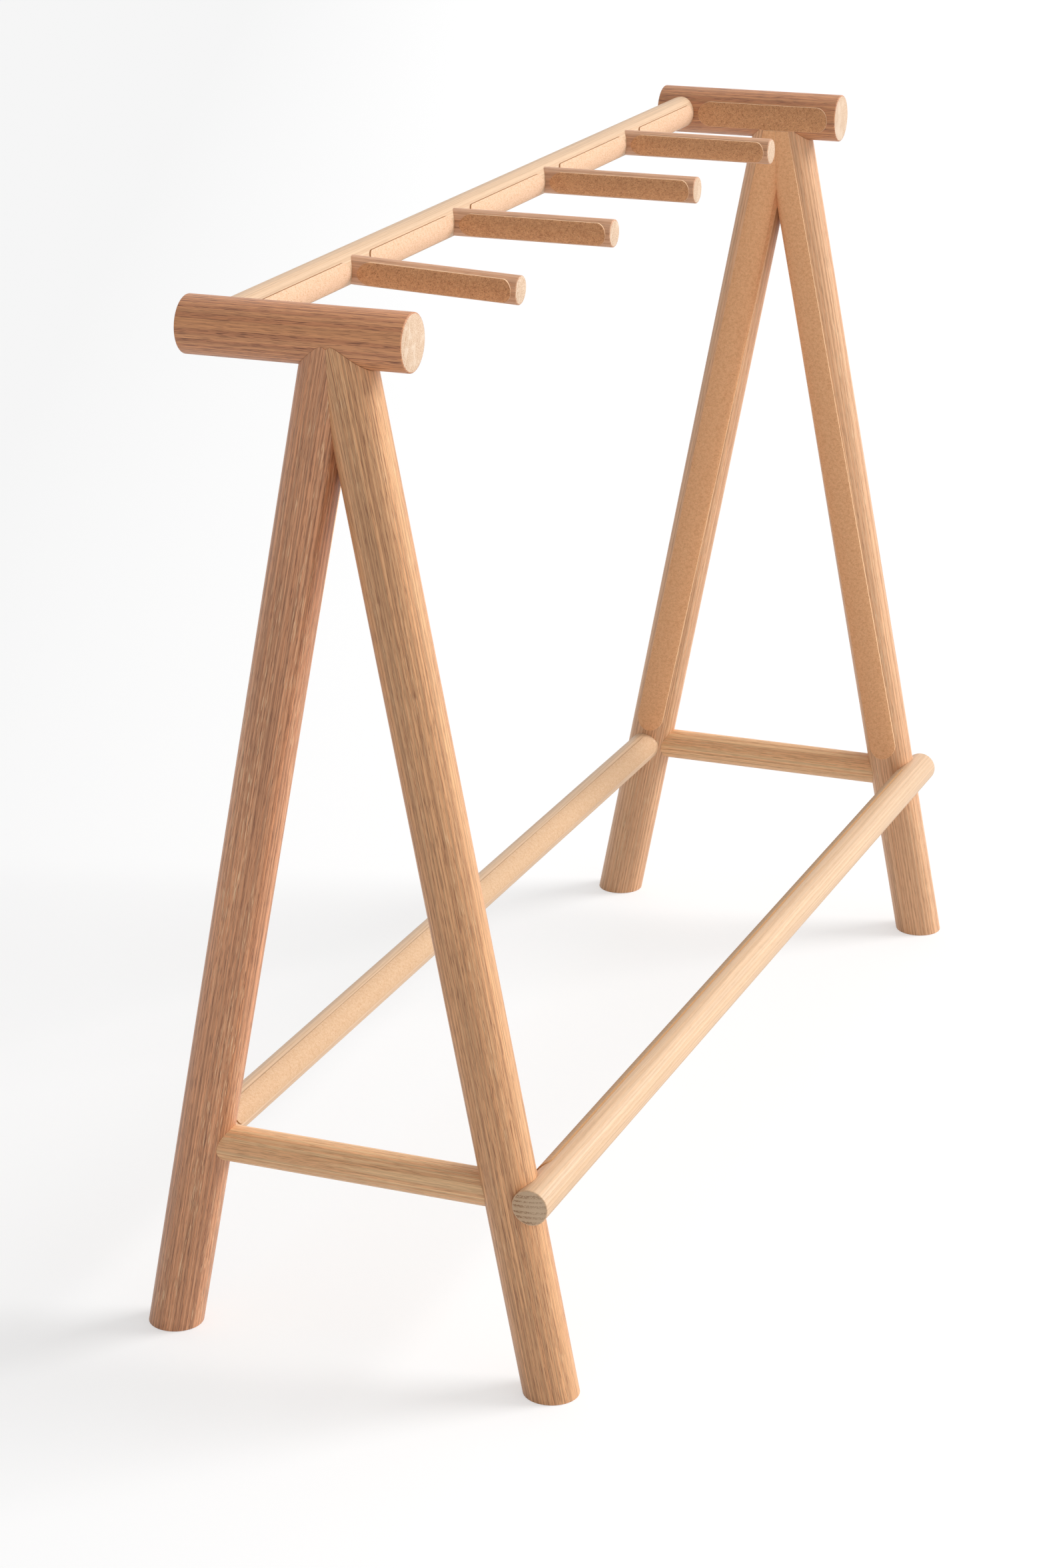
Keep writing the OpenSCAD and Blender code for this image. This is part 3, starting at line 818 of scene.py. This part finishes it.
def softenStrip(piece, facing):
    # marks the cut edges as the second material, then rounds them a little
    tidySurface(piece, corkStrip["smoothAngle"])
    piece.data.materials.clear()
    for material in corkMaterials["leg"]:
        piece.data.materials.append(material)
    facing = Vector(facing).normalized()
    for face in piece.data.polygons:
        isEdge = abs(face.normal.dot(facing)) < corkStrip["edgeFacing"]
        face.material_index = 1 if isEdge else 0
    takeUp(piece)
    soften = piece.modifiers.new("soften", "BEVEL")
    soften.width = corkStrip["softening"]
    soften.segments = 2
    soften.limit_method = "ANGLE"
    soften.angle_limit = math.radians(45)
    soften.material = 1
    bpy.ops.object.modifier_apply(modifier=soften.name)
    bpy.ops.object.shade_smooth_by_angle(angle=corkStrip["smoothAngle"])


def finishCork(piece, node, tone):
    for slot, material in enumerate(corkMaterials[tone]):
        piece.data.materials[slot] = material
    standIn(piece, node)


def makeStrip(name, start, way, facing, radius, length):
    turn = along[way]
    strip = addBar(name, start, turn, radius + corkStrip["thickness"], length)
    run = Euler(turn).to_matrix() @ Vector((0, 0, 1))
    half = halfWidth(radius, corkStrip["width"])
    clear = corkStrip["clear"]
    carve(strip, outlineCutter(length, half, radius + clear, stripFrame(start, run, facing)),
          "INTERSECT")
    carve(strip, addBar("cutter", Vector(start) - run * clear, turn,
                        radius + joinery["glueLine"], length + 2 * clear))
    softenStrip(strip, facing)
    return strip


def makeTopRailStrips():
    half = frameY - headBar["radius"] - corkStrip["gap"]
    strips, alike = [], {}
    for i in range(peg["count"] + 1):
        begin = -half if i == 0 else pegY(i - 1) + peg["radius"] + corkStrip["lead"]
        end = half if i == peg["count"] else pegY(i) - peg["radius"] - corkStrip["gap"]
        name, size = "corkTopRail%d" % (i + 1), round((end - begin) / mm, 3)
        if size in alike:         # the bays between pegs are all one length
            first, pattern = alike[size]
            strips.append(copyPiece(pattern, name, Matrix.Translation((0, begin - first, 0))))
        else:
            strips.append(makeStrip(name, (railX, begin, headZ), "y", (1, 0, 0),
                                    topRail["radius"], end - begin))
            alike[size] = (begin, strips[-1])
    for i, strip in enumerate(strips):
        finishCork(strip, "cork_top_rail_%d" % (i + 1), "rail")


def makePegStrips():
    begin = topRail["radius"] + corkStrip["gap"]
    blank = makeStrip("corkPegBlank", (begin, 0, 0), "x", (0, -1, 0), peg["radius"],
                      peg["reach"] - corkStrip["pegEnd"] - begin)
    for i in range(peg["count"]):
        for end, turn in ((front, Matrix()), (rear, mirrorY)):
            strip = copyPiece(blank, "corkPeg%d%s" % (i + 1, endWord[end].title()),
                              pegPlace(i) @ turn)
            finishCork(strip, "cork_peg_%d_%s" % (i + 1, endWord[end]), "peg")
    bpy.data.objects.remove(blank)


def makeLowerStrips():
    half = frameY - legBar["radius"] - corkStrip["gap"]
    facing = (math.cos(corkStrip["turn"]), 0, math.sin(corkStrip["turn"]))
    strip = makeStrip("corkLowerLeft", (lowerX[left], -half, rack["lowerHeight"]), "y", facing,
                      lowerRail["radius"], 2 * half)
    move = Matrix.Translation((lowerX[right] + lowerX[left], 0, 0)) @ mirrorX
    twin = copyPiece(strip, "corkLowerRight", move)
    finishCork(strip, "cork_lower_left", "lower")
    finishCork(twin, "cork_lower_right", "lower")


def makeLegStrips():
    headHalf = halfWidth(headBar["radius"], corkStrip["headWidth"])
    strip = legCutter(left, corkStrip["thickness"])
    strip.name = "corkLegFrontLeft"
    lowest = rack["lowerHeight"] + max(crossbar["radius"], lowerRail["radius"]) + corkStrip["gap"]
    run = Euler((0, rack["legAngle"] + corkStrip["lean"], 0)).to_matrix() @ Vector((0, 0, 1))
    carve(strip, outlineCutter(
        legLength, halfWidth(legBar["radius"], corkStrip["legWidth"]),
        legBar["radius"] + corkStrip["clear"],
        stripFrame((-legX(lowest), -frameY, lowest), run, (0, 1, 0))), "INTERSECT")
    carve(strip, legCutter(left, joinery["glueLine"]))
    slicePlane(strip, (0, 0, headZ - headHalf - joinery["glueLine"]), (0, 0, 1))
    slicePlane(strip, (-joinery["glueLine"] / 2, 0, 0), (1, 0, 0))
    softenStrip(strip, (0, 1, 0))
    strips = {(left, front): strip,
              (right, front): copyPiece(strip, "corkLegFrontRight", mirrorX),
              (left, rear): copyPiece(strip, "corkLegRearLeft", mirrorY),
              (right, rear): copyPiece(strip, "corkLegRearRight", mirrorX @ mirrorY)}
    for (side, end), piece in strips.items():
        finishCork(piece, "cork_leg_%s_%s" % (endWord[end], sideWord[side]), "leg")


def makeHeadStrips():
    begin = railX + topRail["radius"] + corkStrip["gap"]
    length = headBar["right"] - corkStrip["headEnd"] - begin
    shells = []
    for margin in (corkStrip["thickness"], joinery["glueLine"]):
        shell = headCutter(margin)
        for side in (left, right):
            tip = legCutter(side, margin)
            slicePlane(tip, (0, 0, headZ - headBar["radius"]), (0, 0, -1))
            slicePlane(tip, (0, 0, headZ), (0, 0, 1))
            carve(shell, tip, "UNION")
        shells.append(shell)
    strip, inner = shells
    strip.name = "corkHeadFront"
    carve(strip, outlineCutter(
        length, halfWidth(headBar["radius"], corkStrip["headWidth"]),
        headBar["radius"] + corkStrip["clear"],
        stripFrame((begin, -frameY, headZ), (1, 0, 0), (0, 1, 0))), "INTERSECT")
    carve(strip, inner)
    softenStrip(strip, (0, 1, 0))
    twin = copyPiece(strip, "corkHeadRear", mirrorY)
    finishCork(strip, "cork_head_front", "peg")
    finishCork(twin, "cork_head_rear", "peg")


# Beech dowels, raw: pale, close-grained and matt, with faint short flecks. They lie hidden in
# the joints and keep the shape that they have.
dowelWood = {"light": "#e6cda6", "dark": "#d9ba8d", "fleckWidth": 0.4, "fleckLength": 3.0,
             "roughness": 0.65, "ior": 1.47}


def makeBeech(name):
    material, tree = newMaterial(name)
    wood = barSpace(tree, {"start": (0, 0, 0), "turn": along["z"], "heart": (0, 0), "shift": 0})
    fleck = streaks(tree, wood, dowelWood["fleckWidth"], dowelWood["fleckLength"], 0.4, 0.6)
    colour = addNode(tree, "ShaderNodeValToRGB", None, {"Fac": fleck.outputs[0]},
                     ramp=[(0.0, dowelWood["light"]), (1.0, dowelWood["dark"])])
    shader = addNode(tree, "ShaderNodeBsdfPrincipled", None, {
        "Base Color": colour.outputs[0], "Roughness": dowelWood["roughness"],
        "IOR": dowelWood["ior"]})
    addNode(tree, "ShaderNodeOutputMaterial", None, {"Surface": shader.outputs[0]})
    return material


def finishDowels():
    beech = makeBeech("beech dowel raw")
    for name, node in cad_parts.items():
        if "dowel" in name or "pin" in name:
            node.data.materials.clear()
            node.data.materials.append(beech)


studio = {
    "floorSize": 60.0,
    "floor": "#e6e6e6",
    "floorSeen": "#bcbcbc",       # the camera sees a darker floor that glows instead,
    "glowLeft": 0.41,             # so that it is near white and its shadows are faint
    "glowRight": 0.515,
    "glowAcross": (0.93, 0.37, 0),
    "glowSpan": (-0.95, -0.1),    # metres along glowAcross over which the glow grows, a painted light that brightens the floor towards the sun's side
    "skyToward": (0.75, 0.6, 0.28),   # the brighter side of the sky
    "skyDim": 0.2,
    "skyBright": 0.93,
    "skySeen": 0.97,              # what the camera sees where the floor ends
    "sunPower": 2.3,
    "sunFrom": (1.0, 0.62, 0.72),
    "sunSpread": math.radians(32),
}


def seenRays(tree):
    # 1 for what is looked at, straight or in a gloss or glass; 0 for the light that it gives
    paths = addNode(tree, "ShaderNodeLightPath")
    either = addNode(tree, "ShaderNodeMath", {"operation": "MAXIMUM"}, {
        0: paths.outputs["Is Glossy Ray"], 1: paths.outputs["Is Transmission Ray"]})
    return addNode(tree, "ShaderNodeMath", {"operation": "MAXIMUM"}, {
        0: paths.outputs["Is Camera Ray"], 1: either.outputs[0]})


def makeFloor():
    clearSelection()
    bpy.ops.mesh.primitive_plane_add(size=studio["floorSize"], location=(0, 0, 0))
    floor = bpy.context.object
    floor.name = "studioFloor"
    material, tree = newMaterial("paper backdrop matt")
    seen = seenRays(tree)
    spot = addNode(tree, "ShaderNodeNewGeometry")
    across = addNode(tree, "ShaderNodeVectorMath", {"operation": "DOT_PRODUCT"}, {
        0: spot.outputs["Position"], 1: studio["glowAcross"]})
    fade = addNode(tree, "ShaderNodeMapRange", None, {
        "Value": across.outputs["Value"], "From Min": studio["glowSpan"][0],
        "From Max": studio["glowSpan"][1], "To Min": studio["glowLeft"],
        "To Max": studio["glowRight"]})
    glow = addNode(tree, "ShaderNodeMath", {"operation": "MULTIPLY"}, {
        0: seen.outputs[0], 1: fade.outputs[0]})
    paper = addNode(tree, "ShaderNodeMix", {"data_type": "RGBA"}, {
        0: seen.outputs[0], 6: toLinear(studio["floor"]), 7: toLinear(studio["floorSeen"])})
    shader = addNode(tree, "ShaderNodeBsdfPrincipled", None, {
        "Base Color": paper.outputs[2], "Roughness": 1.0, "Specular IOR Level": 0.0,
        "Emission Color": (1, 1, 1, 1), "Emission Strength": glow.outputs[0]})
    addNode(tree, "ShaderNodeOutputMaterial", None, {"Surface": shader.outputs[0]})
    floor.data.materials.append(material)
    return floor


def makeSun():
    clearSelection()
    bpy.ops.object.light_add(type="SUN")
    lamp = bpy.context.object
    lamp.name = "keySun"
    lamp.data.energy = studio["sunPower"]
    lamp.data.angle = studio["sunSpread"]
    lamp.rotation_euler = Vector(studio["sunFrom"]).to_track_quat("Z", "Y").to_euler()
    return lamp


def makeWorld():
    world = bpy.data.worlds.new("studio white")
    bpy.context.scene.world = world
    world.use_nodes = True
    tree = world.node_tree
    tree.nodes.clear()
    seen = seenRays(tree)
    coords = addNode(tree, "ShaderNodeTexCoord")
    way = addNode(tree, "ShaderNodeVectorMath", {"operation": "DOT_PRODUCT"}, {
        0: coords.outputs["Generated"], 1: studio["skyToward"]})
    sky = addNode(tree, "ShaderNodeMapRange", None, {
        "Value": way.outputs["Value"], "From Min": -1.0, "From Max": 1.0,
        "To Min": studio["skyDim"], "To Max": studio["skyBright"]})
    strength = addNode(tree, "ShaderNodeMapRange", None, {
        "Value": seen.outputs[0], "To Min": sky.outputs[0], "To Max": studio["skySeen"]})
    light = addNode(tree, "ShaderNodeBackground", None, {
        "Color": (1, 1, 1, 1), "Strength": strength.outputs[0]})
    addNode(tree, "ShaderNodeOutputWorld", None, {"Surface": light.outputs[0]})


# degrees: yaw to the left of +Y, pitch up, roll to the right
shot = {"place": (1.17158, -3.08893, 1.52402), "yaw": 21.94, "pitch": -19.77, "roll": -0.26,
        "lens": 83.06, "sensor": 36}


def makeCamera():
    yaw, pitch, roll = (math.radians(shot[key]) for key in ("yaw", "pitch", "roll"))
    look = Vector((-math.sin(yaw) * math.cos(pitch), math.cos(yaw) * math.cos(pitch),
                   math.sin(pitch)))
    across = Vector((math.cos(yaw), math.sin(yaw), 0))
    up = across.cross(look)
    rolled = across * math.cos(roll) + up * math.sin(roll)
    rolledUp = up * math.cos(roll) - across * math.sin(roll)
    clearSelection()
    bpy.ops.object.camera_add(location=shot["place"])
    camera = bpy.context.object
    camera.name = "shotCamera"
    camera.rotation_euler = Matrix((rolled, rolledUp, -look)).transposed().to_euler()
    camera.data.sensor_width = shot["sensor"]
    camera.data.lens = shot["lens"]
    bpy.context.scene.camera = camera


corkMaterials = {tone: (makeCork("cork sheet fine " + tone, look),
                        makeCorkEdge("cork cut edge " + tone, look))
                 for tone, look in corkTones.items()}

makeHeadBars()
print("head bars are turned and bored")
makeLegs()
print("legs are mitred, coped, bored and housed")
makeCrossbars()
print("crossbars are coped")
makeTopRail()
makeLowerRails()
print("rails are fitted")
makePegs()
print("pegs are set")
makeTopRailStrips()
makePegStrips()
makeLowerStrips()
print("cork is on the rails and pegs")
makeLegStrips()
makeHeadStrips()
print("cork is on the legs and head bars")
finishDowels()
print("dowels are in their finish")

makeFloor()
makeSun()
makeWorld()
makeCamera()
bpy.context.scene.view_settings.view_transform = "Standard"
print("studio is lit")
